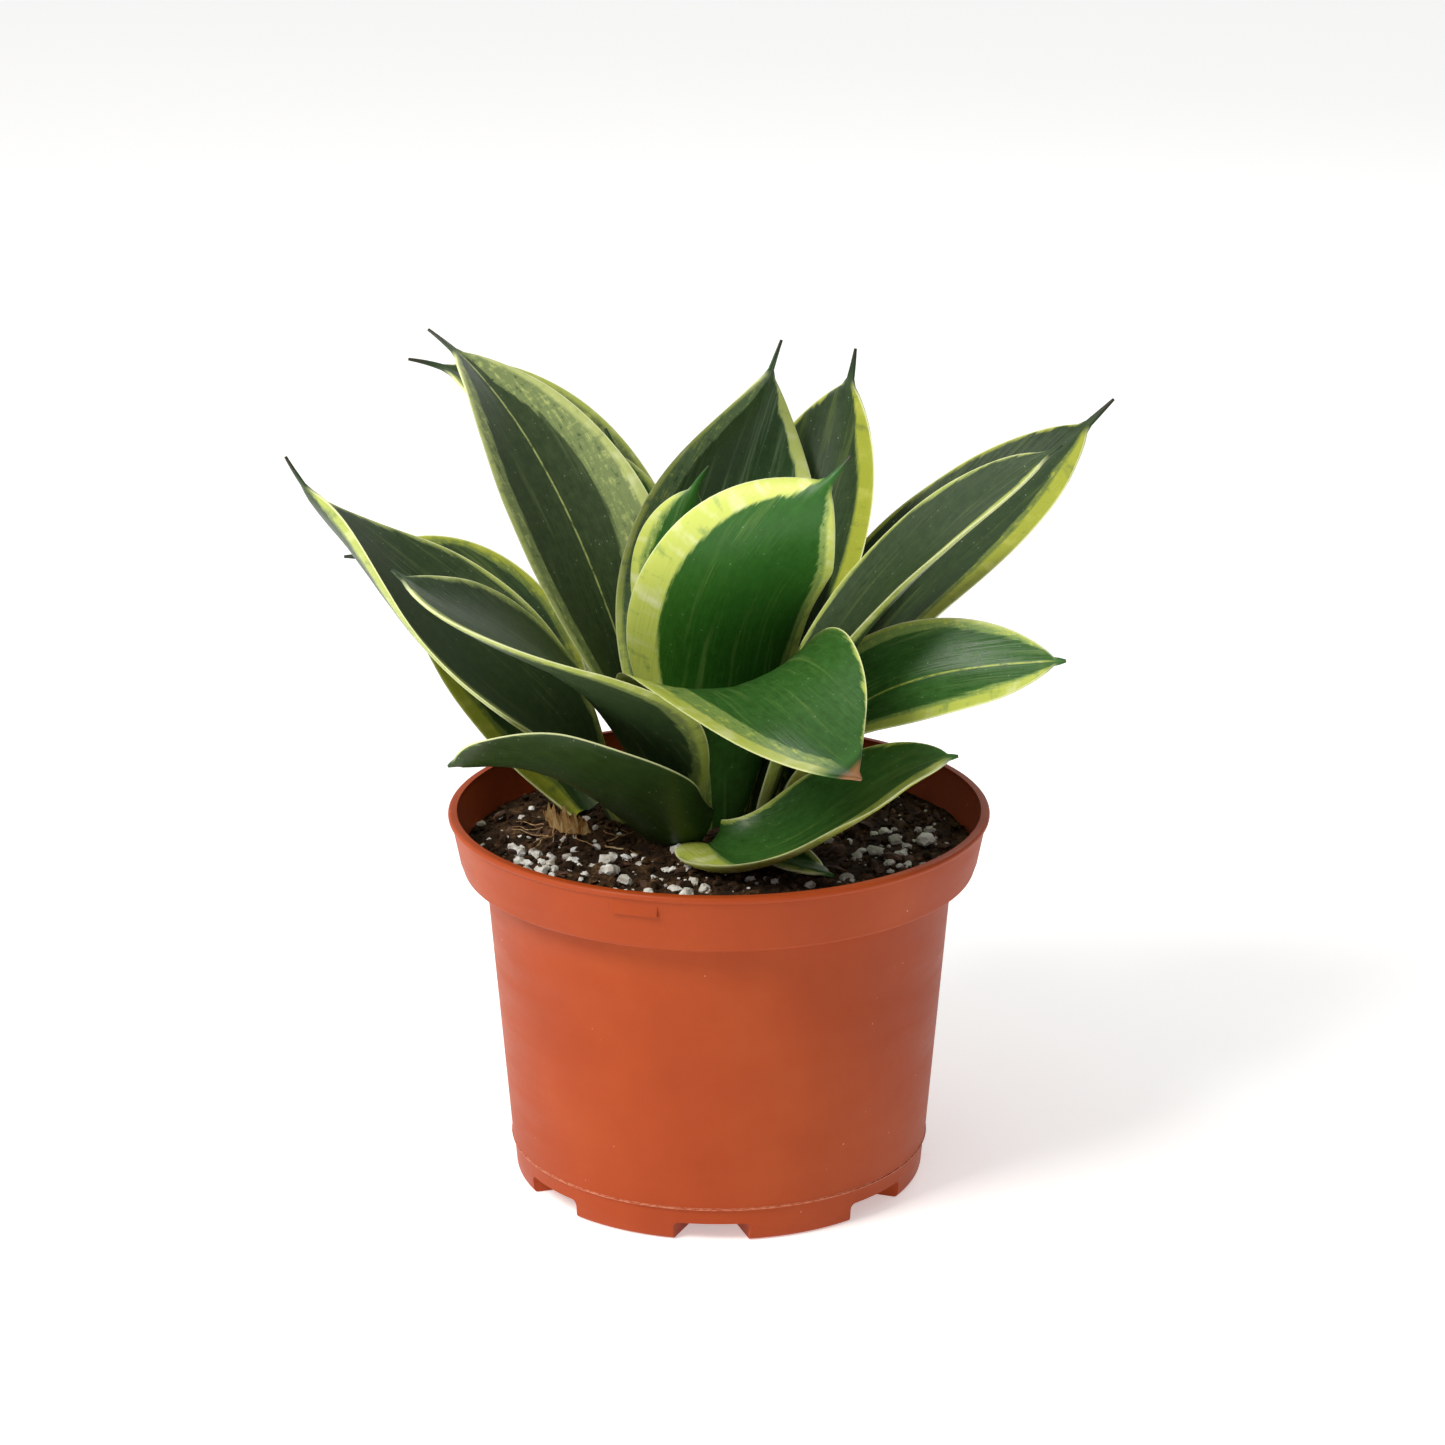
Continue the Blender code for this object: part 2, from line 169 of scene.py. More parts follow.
def add_piece(name, bm, material, slot, *nodes, sharp=40):
    """Make an object of a bmesh, fix it to the plant and hide the CAD nodes it stands for."""
    bmesh.ops.recalc_face_normals(bm, faces=bm.faces)
    made = bpy.data.meshes.new(name)
    bm.to_mesh(made)
    bm.free()
    made.shade_smooth()
    made.set_sharp_from_angle(angle=math.radians(sharp))
    piece = bpy.data.objects.new(name, made)
    bpy.context.scene.collection.objects.link(piece)
    made.materials.append(material)
    if slot:
        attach(piece, "root")
    if nodes:
        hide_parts(*nodes)
    return piece


def turn_profile(profile, segments):
    """A closed solid of revolution about Z from (radius, height) points, top to bottom."""
    bm = bmesh.new()
    corners = [bm.verts.new((radius, 0, height)) for radius, height in profile]
    edges = [bm.edges.new(pair) for pair in zip(corners, corners[1:])]
    bmesh.ops.spin(
        bm, geom=corners + edges, cent=(0, 0, 0), axis=(0, 0, 1), angle=math.tau, steps=segments,
        use_merge=True
    )
    bmesh.ops.remove_doubles(bm, verts=bm.verts, dist=1e-6)
    return bm


def arc(centre, radius, start, end, steps):
    """Points on a small arc of a profile, angles in degrees."""
    angles = np.radians(np.linspace(start, end, steps))
    return [(centre[0] + radius * math.cos(a), centre[1] + radius * math.sin(a)) for a in angles]


collar = rim - lip_proud
shoulder = pot_height - collar_height
wall_top = collar - collar_taper - collar_step
foot = wall_top - wall_taper
seam = 0.010


def wall_face(inset):
    """The wall's face from the lip down to the parting line, moved in by a distance."""
    low_collar = collar - collar_taper - inset
    face = [(collar - inset, pot_height - 0.0021), (collar - 0.0022 - inset, shoulder + 0.0036 + inset)]
    face += arc((low_collar - collar_round, shoulder + 0.0014 + inset), collar_round, 0, -80, 6)
    face += arc((wall_top + step_round - inset, shoulder - 0.0024 + inset), step_round, 100, 180, 7)
    return face + [(foot + 0.0012 - inset, seam)]


def channel_turn(number):
    """The turn about the pot's axis that brings a channel to its place."""
    return Matrix.Rotation(math.radians(first_channel + 360 / channel_count * number), 4, "Z")


def channel_cutter(margin):
    """All the drain channels under the foot, grown by a margin."""
    bm = bmesh.new()
    # each starts below the floor and runs in from outside the wall
    sunk = 0.002
    for number in range(channel_count):
        far, near = foot + 0.004, foot - channel_reach - margin
        # half its width at the wall and at its inner end, and the rounding of its inner corners
        wide, narrow = 0.0125 + margin, 0.006 + margin
        corner = 0.003
        outline = [(far, -wide), (far, wide), (near + 0.004, narrow + 0.0007)]
        outline += arc((near + corner, narrow - corner), corner, 100, 180, 6)
        outline += arc((near + corner, corner - narrow), corner, 180, 260, 6)
        outline += [(near + 0.004, -narrow - 0.0007)]
        turn = channel_turn(number)
        face = bm.faces.new([bm.verts.new(turn @ Vector((x, y, -sunk))) for x, y in outline])
        raised = bmesh.ops.extrude_face_region(bm, geom=[face])["geom"]
        top = [v for v in raised if isinstance(v, bmesh.types.BMVert)]
        bmesh.ops.translate(bm, verts=top, vec=(0, 0, sunk + channel_height + margin))
        edges = [e for e in raised if isinstance(e, bmesh.types.BMEdge)]
        bmesh.ops.bevel(bm, geom=edges, offset=0.0016, segments=4, profile=0.5, affect="EDGES")
    return bm


def drain_cutter():
    """A round hole through the roof of each channel."""
    bm = bmesh.new()
    for number in range(channel_count):
        place = channel_turn(number) @ Matrix.Translation((foot - 0.0095, 0, channel_height))
        bmesh.ops.create_cone(
            bm, cap_ends=True, segments=32, radius1=drain_radius, radius2=drain_radius, depth=0.006,
            matrix=place
        )
    return bm


def tab_shape():
    """A plain moulded rectangle, proud of the collar by half a millimetre."""
    bm = bmesh.new()
    size = Matrix.Diagonal((0.0016, 0.0130, 0.0044, 1))
    tilt = Matrix.Rotation(-math.atan(collar_taper / collar_height), 4, "Y")
    turn = Matrix.Rotation(math.radians(-107.5), 4, "Z")
    place = Matrix.Translation((collar - 0.0011, 0, pot_height - 0.0044))
    bmesh.ops.create_cube(bm, size=1, matrix=turn @ place @ tilt @ size)
    bmesh.ops.bevel(bm, geom=bm.edges[:], offset=0.0002, segments=2, profile=0.5, affect="EDGES")
    return bm


def shape_with(target, bm, operation):
    """Cut a mesh away from a piece or join it on, then drop the mesh."""
    bmesh.ops.recalc_face_normals(bm, faces=bm.faces)
    made = bpy.data.meshes.new("tool")
    bm.to_mesh(made)
    bm.free()
    made.shade_smooth()
    tool = bpy.data.objects.new("tool", made)
    bpy.context.scene.collection.objects.link(tool)
    boolean = target.modifiers.new("shape", "BOOLEAN")
    boolean.operation = operation
    boolean.solver = "EXACT"
    boolean.object = tool
    bpy.context.view_layer.update()
    result = bpy.data.meshes.new_from_object(target.evaluated_get(bpy.context.evaluated_depsgraph_get()))
    target.modifiers.clear()
    target.data = result
    bpy.data.objects.remove(tool)


# polypropylene, injection moulded: warm orange-brown all through and satin, with clouds of tone
# 45 mm wide, flow marks round it, a pale parting line that is partly scuff and partly a painted
# highlight, and a few specks of dust
pot_plastic, tree, shader = surface("terracotta_polypropylene")
place = node(tree, "TexCoord", {}, 3)
stretch = node(tree, "Mapping", {"Scale": (1, 1, 6), "Vector": place})
clouds = node(tree, "TexNoise", {"Scale": 1000 / 45, "Detail": 5.0, "Roughness": 0.55, "Vector": place})
flow = node(tree, "TexNoise", {"Scale": 1000 / 33, "Detail": 6.0, "Roughness": 0.6, "Vector": stretch})
base = node(tree, "ValToRGB", {"steps": [(0.3, "#9E3D12"), (0.5, "#A54215"), (0.72, "#AD4A1B")], 0: clouds})
height = node(tree, "SeparateXYZ", {0: place}, 2)
# the parting line: a pale ragged streak, partly scuff and partly a painted highlight along the ledge's edge
near_seam = node(tree, "MapRange", {0: height, 1: seam - 0.0008, 2: seam - 0.0003, 3: 0.0, 4: 1.0})
over_seam = node(tree, "MapRange", {0: height, 1: seam + 0.0001, 2: seam + 0.0004, 3: 1.0, 4: 0.0})
seam_line = node(tree, "Math", {"operation": "MULTIPLY", 0: near_seam, 1: over_seam})
fibre = node(tree, "TexNoise", {"Scale": 1000 / 1.4, "Detail": 4.0, "Roughness": 0.7, "Vector": stretch})
scuff_and_highlight = node(tree, "MapRange", {0: fibre, 1: 0.42, 2: 0.6, 3: 0.05, 4: 0.6})
seam_scuff_and_highlight = node(tree, "Math", {"operation": "MULTIPLY", 0: seam_line, 1: scuff_and_highlight})
speck = node(tree, "TexVoronoi", {"Scale": 1000 / 3.1, "Randomness": 1.0, "Vector": place})
rare = node(tree, "TexNoise", {"Scale": 1000 / 11, "Detail": 2.0, "Vector": place})
speck = node(tree, "MapRange", {0: speck, 1: 0.10, 2: 0.04, 3: 0.0, 4: 1.0})
rare = node(tree, "MapRange", {0: rare, 1: 0.60, 2: 0.68, 3: 0.0, 4: 0.7})
specks = node(tree, "Math", {"operation": "MULTIPLY", 0: speck, 1: rare})
dusty = node(tree, "Mix", {"data_type": "RGBA", 0: specks, 6: base, 7: linear("#E9B493")}, 2)
# the pale parting line goes in here: scuff and painted highlight
scuffed_and_highlit = node(tree, "Mix", {"data_type": "RGBA", 0: seam_scuff_and_highlight, 6: dusty, 7: linear("#E3A284")}, 2)
gloss = node(tree, "MapRange", {0: flow, 1: 0.3, 2: 0.7, 3: 0.44, 4: 0.56})
pebble = node(tree, "TexNoise", {"Scale": 1000 / 0.7, "Detail": 3.0, "Vector": place})
relief = node(tree, "Math", {"operation": "MULTIPLY_ADD", 0: flow, 1: 1.5, 2: pebble})
relief = node(tree, "Bump", {"Strength": 0.10, "Distance": 0.0004, "Height": relief})
settle(shader, {"Base Color": scuffed_and_highlit, "Roughness": gloss, "Normal": relief})
settle(shader, {"IOR": 1.49, "Specular IOR Level": 0.22})

# outside: the rolled lip, the wall, the ledge at the parting line and the rounded foot
outside = [(0, pot_height), (rim - 0.0019, pot_height)]
outside += arc((rim - edge_round, pot_height - edge_round), edge_round, 90, -60, 9)
outside += wall_face(0)
outside += [(foot + 0.0015, seam - 0.0001), (foot + 0.0014, seam - 0.0004)]
outside += [(foot + 0.0008, seam - 0.0006), (foot + 0.0001, 0.0012)]
outside += arc((foot - edge_round, edge_round), edge_round, 0, -90, 5) + [(0, 0)]
# inside: from above the lip, over its inner edge, down the wall and across the base
inside = [(0, pot_height + 0.004), (rim - 0.0019, pot_height + 0.004)]
inside += arc((collar - wall - 0.0006, pot_height - 0.0008), 0.0006, 60, 0, 4)
inside += wall_face(wall)
inside += [(foot - wall, 0.0028), (foot - wall - 0.001, base_thickness), (0, base_thickness)]
pot = add_piece("nursery_pot", turn_profile(outside, turn_steps), pot_plastic, "pot_plastic", "pot", sharp=35)
hollow = add_piece("pot_hollow", turn_profile(inside, turn_steps), pot_plastic, None)
shape_with(hollow, channel_cutter(wall), "DIFFERENCE")
solid = bmesh.new()
solid.from_mesh(hollow.data)
bpy.data.objects.remove(hollow)
shape_with(pot, channel_cutter(0), "DIFFERENCE")
shape_with(pot, solid, "DIFFERENCE")
shape_with(pot, drain_cutter(), "DIFFERENCE")
shape_with(pot, tab_shape(), "UNION")
pot.data.shade_smooth()
pot.data.set_sharp_from_angle(angle=math.radians(35))

# ------------------------------------------------------------------ potting mix
# Loose peat and composted bark with expanded white perlite, filled to a finger below the rim.
# The bed is one lumpy surface; crumbs, bark, perlite and roots lie on it as separate grains.
rng = np.random.default_rng(11)
soil_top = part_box("crown_main")[1][2] - 0.002
soil_edge = collar - 0.65 * collar_taper - wall - 0.0003
crowns = [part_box("crown_main"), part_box("crown_pup")]


def bed_height(x, y):
    """The bed's surface: a few lumps, a little lower at the wall, heaped over the crowns."""
    place = Vector((x, y, 0)) * 1000
    lumps = noise.noise(place / 9) + 0.5 * noise.noise(place / 4 + Vector((7, 3, 0)))
    fall = min(1.0, max(0.0, (rim - math.hypot(x, y)) / 0.014))
    height = soil_top + 0.0015 * (fall - 1) + 0.0009 * lumps * fall
    for low, high in crowns:
        middle = (low + high) / 2
        reach = (high.x - low.x) / 2
        near = 1 - math.hypot(x - middle.x, y - middle.y) / (reach + 0.005)
        height += 0.0024 * min(1.0, max(0.0, near) * 3)
    return height


# damp sphagnum peat: nearly black brown, quite matt, with lighter dry crumbs
peat, tree, shader = surface("damp_peat")
place = node(tree, "TexCoord", {}, 3)
clump = node(tree, "TexNoise", {"Scale": 1000 / 6, "Detail": 8.0, "Roughness": 0.7, "Vector": place})
grit = node(tree, "TexNoise", {"Scale": 1000 / 1.1, "Detail": 5.0, "Roughness": 0.8, "Vector": place})
tone = node(tree, "Math", {"operation": "MULTIPLY_ADD", 0: grit, 1: 0.6, 2: clump})
browns = [(0.58, "#150D07"), (0.75, "#33210F"), (0.88, "#563B22"), (1.0, "#8C6C47")]
tone = node(tree, "ValToRGB", {"steps": browns, 0: tone})
relief = node(tree, "Bump", {"Strength": 1.0, "Distance": 0.0012, "Height": grit})
settle(shader, {"Base Color": tone, "Roughness": 0.92, "Specular IOR Level": 0.25, "Normal": relief})


def join_rings(bm, last, row):
    """Faces between two rings of points."""
    for here in range(len(row)):
        beside = (here + 1) % len(row)
        bm.faces.new([last[here], last[beside], row[beside], row[here]])


bm = bmesh.new()
rings, spokes = 44, 130
centre = bm.verts.new((0, 0, bed_height(0, 0)))
last = None
for ring in range(1, rings + 1):
    row = []
    for spoke in range(spokes):
        angle = math.tau * spoke / spokes
        x = soil_edge * ring / rings * math.cos(angle)
        y = soil_edge * ring / rings * math.sin(angle)
        rough = 0.0009 * noise.noise(Vector((x, y, 0.3)) * 330)
        rough += 0.0005 * noise.noise(Vector((x, y, 0.9)) * 800)
        row.append(bm.verts.new((x, y, bed_height(x, y) + rough)))
    if last:
        join_rings(bm, last, row)
    else:
        for spoke in range(spokes):
            bm.faces.new([centre, row[(spoke + 1) % spokes], row[spoke]])
    last = row
# below the bed's edge the root ball follows the wall down to the pot's floor
root_ball = [(soil_edge - 0.0012, shoulder + 0.0035), (wall_top - wall - 0.0008, shoulder + 0.001)]
root_ball += [(foot - wall - 0.0006, 0.0075)]
for radius, height in root_ball:
    row = []
    for spoke in range(spokes):
        angle = math.tau * spoke / spokes
        row.append(bm.verts.new((radius * math.cos(angle), radius * math.sin(angle), height)))
    join_rings(bm, last, row)
    last = row
bm.faces.new(last)
add_piece("potting_mix_bed", bm, peat, "potting_mix", "soil", sharp=180)


def grains(name, count, sizes, squash, roundness, place_at, material):
    """Scatter angular grains on the bed as one piece.

    "sizes" are their least and greatest widths, "squash" how narrow one may be against its
    length, and "roundness" is 1 for a grain of 20 facets or 2 for one of 80.
    """
    seed = bmesh.new()
    bmesh.ops.create_icosphere(seed, subdivisions=roundness, radius=0.5)
    shape = np.array([v.co for v in seed.verts])
    faces = np.array([[v.index for v in f.verts] for f in seed.faces])
    seed.free()
    points, corners = [], []
    for number in range(count):
        x, y, lift = place_at(number)
        width = sizes[0] + (sizes[1] - sizes[0]) * rng.random() ** 2.2
        stretch = np.array([1, rng.uniform(*squash), rng.uniform(*squash)])
        jagged = 1 + rng.normal(0, 0.16, (len(shape), 1))
        turn = np.linalg.qr(rng.normal(size=(3, 3)))[0]
        flat = np.array([1, 1, 0.75])
        grain = (shape * stretch * jagged) @ turn * flat * width
        spot = np.array([x, y, bed_height(x, y) + lift * width])
        corners.append(faces + len(shape) * number)
        points.append(grain + spot)
    made = bpy.data.meshes.new(name)
    made.from_pydata(np.vstack(points).tolist(), [], np.vstack(corners).tolist())
    bm = bmesh.new()
    bm.from_mesh(made)
    bpy.data.meshes.remove(made)
    add_piece(name, bm, material, "potting_mix", sharp=35)


def anywhere(_):
    """A random spot on the open bed, with how far its grain stands proud, in grain widths."""
    radius = (soil_edge - 0.0012) * math.sqrt(rng.random())
    angle = rng.uniform(0, math.tau)
    return radius * math.cos(angle), radius * math.sin(angle), rng.uniform(-0.15, 0.3)


def in_patches(centres, spread):
    """Spots that gather round a few centres, kept inside the pot."""
    def spot(number):
        while True:
            x, y = rng.normal(centres[number % len(centres)], spread)
            if math.hypot(x, y) < soil_edge - 0.002:
                return x, y, rng.uniform(-0.1, 0.4)
    return spot


# composted bark: chestnut to dark brown chips, matt, with a split grain
bark, tree, shader = surface("composted_bark")
place = node(tree, "TexCoord", {}, 3)
split = node(tree, "TexNoise", {"Scale": 1000 / 4, "Detail": 6.0, "Roughness": 0.65, "Vector": place})
tone = node(tree, "ValToRGB", {"steps": [(0.3, "#2B1A11"), (0.5, "#4C3122"), (0.7, "#7A5539")], 0: split})
relief = node(tree, "Bump", {"Strength": 0.6, "Distance": 0.0005, "Height": split})
settle(shader, {"Base Color": tone, "Roughness": 0.85, "Normal": relief})

# perlite: popped volcanic glass, chalk white with grey hollows and peat stains
perlite, tree, shader = surface("expanded_perlite")
place = node(tree, "TexCoord", {}, 3)
stain = node(tree, "TexNoise", {"Scale": 1000 / 5, "Detail": 5.0, "Roughness": 0.6, "Vector": place})
whites = [(0.3, "#8A7E70"), (0.42, "#C2BBB1"), (0.55, "#E2DFD9"), (0.7, "#F6F5F2")]
tone = node(tree, "ValToRGB", {"steps": whites, 0: stain})
pores = node(tree, "TexVoronoi", {"Scale": 1000 / 0.7, "Vector": place})
relief = node(tree, "Bump", {"Strength": 0.5, "Distance": 0.0003, "Height": pores})
settle(shader, {"Base Color": tone, "Roughness": 0.9, "Normal": relief})

grains("peat_crumbs", 2300, (0.0010, 0.0038), (0.55, 1.0), 1, anywhere, peat)
grains("bark_chips", 330, (0.0020, 0.0070), (0.25, 0.6), 1, anywhere, bark)
patches = [(-0.056, -0.024), (-0.047, -0.014), (-0.036, -0.026), (-0.012, -0.033)]
patches += [(0.047, -0.018), (0.055, 0.0)]
gathered = in_patches(patches, 0.009)
grains("perlite_gathered", 150, (0.0009, 0.0054), (0.55, 1.0), 2, gathered, perlite)
grains("perlite_scattered", 280, (0.0006, 0.0034), (0.6, 1.0), 1, anywhere, perlite)

# fine roots: dry tan fibres, half a millimetre thick, loose on the mix beside the side shoot
dry_root, tree, shader = surface("dry_root_fibre")
place = node(tree, "TexCoord", {}, 3)
tint = node(tree, "TexNoise", {"Scale": 1000 / 2.5, "Detail": 4.0, "Roughness": 0.6, "Vector": place})
tone = node(tree, "ValToRGB", {"steps": [(0.35, "#7E5B38"), (0.5, "#B08A5C"), (0.68, "#DCC69C")], 0: tint})
relief = node(tree, "Bump", {"Strength": 0.5, "Distance": 0.0002, "Height": tint})
settle(shader, {"Base Color": tone, "Roughness": 0.8, "Normal": relief})
root_steps, root_sides = 12, 5
shoot = (crowns[1][0] + crowns[1][1]) / 2
bm = bmesh.new()
for number in range(12):
    turn = math.radians(rng.uniform(185, 300))
    at = shoot + Vector((math.cos(turn), math.sin(turn), 0)) * rng.uniform(0.008, 0.014)
    reach, thin, arch = rng.uniform(0.007, 0.018), rng.uniform(0.00015, 0.00027), rng.uniform(0, 0.002)
    last = None
    for step in range(root_steps + 1):
        turn += rng.normal(0, 0.4)
        at = at + Vector((math.cos(turn), math.sin(turn), 0)) * reach / root_steps
        if math.hypot(at.x, at.y) > soil_edge - 0.003:
            break
        at.z = bed_height(at.x, at.y) + 0.0007 + arch * math.sin(math.pi * step / root_steps)
        across = Vector((-math.sin(turn), math.cos(turn), 0)) * thin * (1.2 - step / 15)
        row = []
        for corner in range(root_sides):
            angle = math.tau * corner / root_sides
            spot = at + across * math.cos(angle) + Vector((0, 0, across.length * math.sin(angle)))
            row.append(bm.verts.new(spot))
        if last:
            join_rings(bm, last, row)
        else:
            bm.faces.new(row)
        last = row
    bm.faces.new(last[::-1])
add_piece("fine_roots", bm, dry_root, "potting_mix")

# ------------------------------------------------------------------ rhizome
# The creeping stem that the leaves grow from, just at the surface: woody, fibrous, tan-brown.
# Its two crowns are the CAD's own discs, nearly buried in the mix.
rhizome, tree, shader = surface("rhizome_bark")
place = node(tree, "TexCoord", {}, 3)
fibrous = node(tree, "Mapping", {"Scale": (1, 1, 0.2), "Vector": place})
fibres = node(tree, "TexNoise", {"Scale": 1000 / 1.4, "Detail": 6.0, "Roughness": 0.7, "Vector": fibrous})
tone = node(tree, "ValToRGB", {"steps": [(0.3, "#2E2013"), (0.55, "#5E4327"), (0.75, "#93703F")], 0: fibres})
relief = node(tree, "Bump", {"Strength": 0.6, "Distance": 0.0005, "Height": fibres})
settle(shader, {"Base Color": tone, "Roughness": 0.8, "Normal": relief})
for name in ("crown_main", "crown_pup"):
    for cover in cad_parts[name].material_slots:
        cover.material = rhizome

# ------------------------------------------------------------------ leaves
# Nineteen thick, leathery blades in a loose rosette, variegated in long streaks under a satin
# wax skin, each ending in a thin hard spike. Sizes are in mm, angles in degrees, foot to tip.
leaf_foot = soil_top * 1000 + 2.45
leaf_thickness = 2.0
usual_blade_end = 0.93
spike_half = 1.3
wave_length, sway_length = 17, 21
groove_depth, groove_reach = 0.35, 1.4
LEAVES = {
    "leaf_back_left_tall": dict(
        foot=(-13, 14), length=162, width=49, heading=(146, 140, 144), rise=(69, 59, 25), roll=(8, -15, 7)
    ),
    "leaf_back_left_outer": dict(
        foot=(-8, 25), length=162, width=49, heading=(131, 137, 186), rise=(50, 59, 10), roll=(1, -4, -31)
    ),
    "leaf_centre_back": dict(
        foot=(2, 16), length=139, width=61, heading=(152, 66, 39), rise=(77, 68, 64), roll=(-77, 32, 116)
    ),
    "leaf_back_right_tall": dict(
        foot=(6, 21), length=137, width=50, heading=(58, 53, 33), rise=(75, 61, 82), roll=(-1, 5, 25)
    ),
    "leaf_centre_front": dict(
        foot=(-4, 4), length=134, width=56, heading=(-49, -66, 29), rise=(90, 61, 45),
        roll=(-74, -13, -157)
    ),
    "leaf_heart": dict(
        foot=(1, 7), length=108, width=35, heading=(181, 177, 184), rise=(86, 79, 127), roll=(69, 65, 103)
    ),
    "leaf_right_long": dict(
        foot=(12, 21), length=158, width=46, heading=(22, 26, 18), rise=(65, 40, 42), roll=(13, 16, 40)
    ),
    "leaf_right_upper": dict(
        foot=(12, 6), length=142, width=40, heading=(-17, 0, 0), rise=(76, 53, 33),
        roll=(25, 7, 30), spike=0.965
    ),
    "leaf_right_lower": dict(
        foot=(21, 5), length=105, width=37, heading=(-19, -15, -12), rise=(95, 29, 7),
        roll=(15, 39, 60), spike=0.975
    ),
    "leaf_front_folded": dict(
        foot=(-3, 0), length=122, width=64, heading=(-100, -75, -62, -23), rise=(81, 53, -5, -21),
        roll=(-6, 1, 9, 12), widest=0.55, spike=0.99
    ),
    "leaf_front_right_low": dict(
        foot=(-3, -12), length=86, width=41, heading=(-82, 4, -4), rise=(-9, 33, 9),
        roll=(31, 7, 17), neck=0.5, spike=0.975
    ),
    "leaf_front_left_low": dict(
        foot=(-7, -9), length=80, width=39, heading=(-137, -168, -184), rise=(28, 31, -23),
        roll=(46, 31, 52), widest=0.4, neck=0.6, spike=0.98
    ),
    "leaf_left_long": dict(
        foot=(-30, 11), length=144, width=55, heading=(-139, -175, -168), rise=(65, 44, 63),
        roll=(-16, -23, 29)
    ),
    "leaf_left_upper": dict(
        foot=(-13, -1), length=130, width=52, heading=(-132, -140, -189), rise=(79, 38, 40),
        roll=(9, -7, -16), spike=0.97
    ),
    "leaf_left_outer": dict(
        foot=(-38, 18), length=106, width=47, heading=(150, 158, 179), rise=(46, 54, -3),
        roll=(-32, -34, -33)
    ),
    "leaf_back_centre": dict(
        foot=(-5, 23), length=114, width=32, heading=(113, 120, 134), rise=(60, 64, 55), roll=(7, -8, 5)
    ),
    "leaf_back_low_left": dict(
        foot=(-3, 31), length=102, width=44, heading=(113, 121, 119), rise=(48, 28, 7), roll=(-25, -18, 3)
    ),
    "leaf_back_low_right": dict(
        foot=(10, 26), length=110, width=47, heading=(63, 58, 56), rise=(48, 33, 11), roll=(14, 7, -1)
    ),
    "leaf_front_tip": dict(
        foot=(9, -10), length=36, width=13, heading=(-58, -50, -45), rise=(5, -6, -23), roll=(15, 20, -4)
    ),
}


def blend(values, t):
    """A smooth run through values spaced evenly from foot to tip."""
    stations = np.linspace(0, 1, len(values))
    return np.polyval(np.polyfit(stations, values, len(values) - 1), t)


def leaf_course(leaf, rows):
    """Midrib points, the sideways direction and the upper face's normal, row by row."""
    share = np.linspace(0, 1, rows)
    heading = np.radians(blend(leaf["heading"], share))
    rise = np.radians(blend(leaf["rise"], share))
    roll = np.radians(blend(leaf["roll"], share))[:, None]
    along = np.stack([np.cos(rise) * np.cos(heading), np.cos(rise) * np.sin(heading), np.sin(rise)], 1)
    level = np.stack([-np.sin(heading), np.cos(heading), 0 * heading], 1)
    side = level * np.cos(roll) + np.cross(along, level) * np.sin(roll)
    steps = (along[1:] + along[:-1]) / 2 * leaf["length"] / (rows - 1)
    midrib = np.array([*leaf["foot"], leaf_foot]) + np.vstack([np.zeros(3), np.cumsum(steps, axis=0)])
    return share, midrib, side, np.cross(along, side)


def half_width(leaf, share):
    """Half the blade's width: a narrow foot, a broad middle, a drawn-in tip and a thin spike.

    "widest" and "spike" are the shares of the length at which the blade is widest and where its
    spike starts, and "neck" is the foot's width as a share of the widest.
    """
    widest = leaf.get("widest", 0.5)
    neck = leaf.get("neck", 0.3)
    blade_end = leaf.get("spike", usual_blade_end)
    swell = neck + (1 - neck) * np.sin(np.clip(share / widest, 0, 1) * math.pi / 2)
    narrowing = np.clip((share - widest) / (blade_end - widest), 0, 1)
    blade = np.where(share < widest, swell, (1 - narrowing**2) ** 0.75)
    spike = spike_half * (1 - 0.7 * np.clip((share - blade_end) / (1 - blade_end), 0, 1))
    return np.maximum(leaf["width"] / 2 * blade, spike)


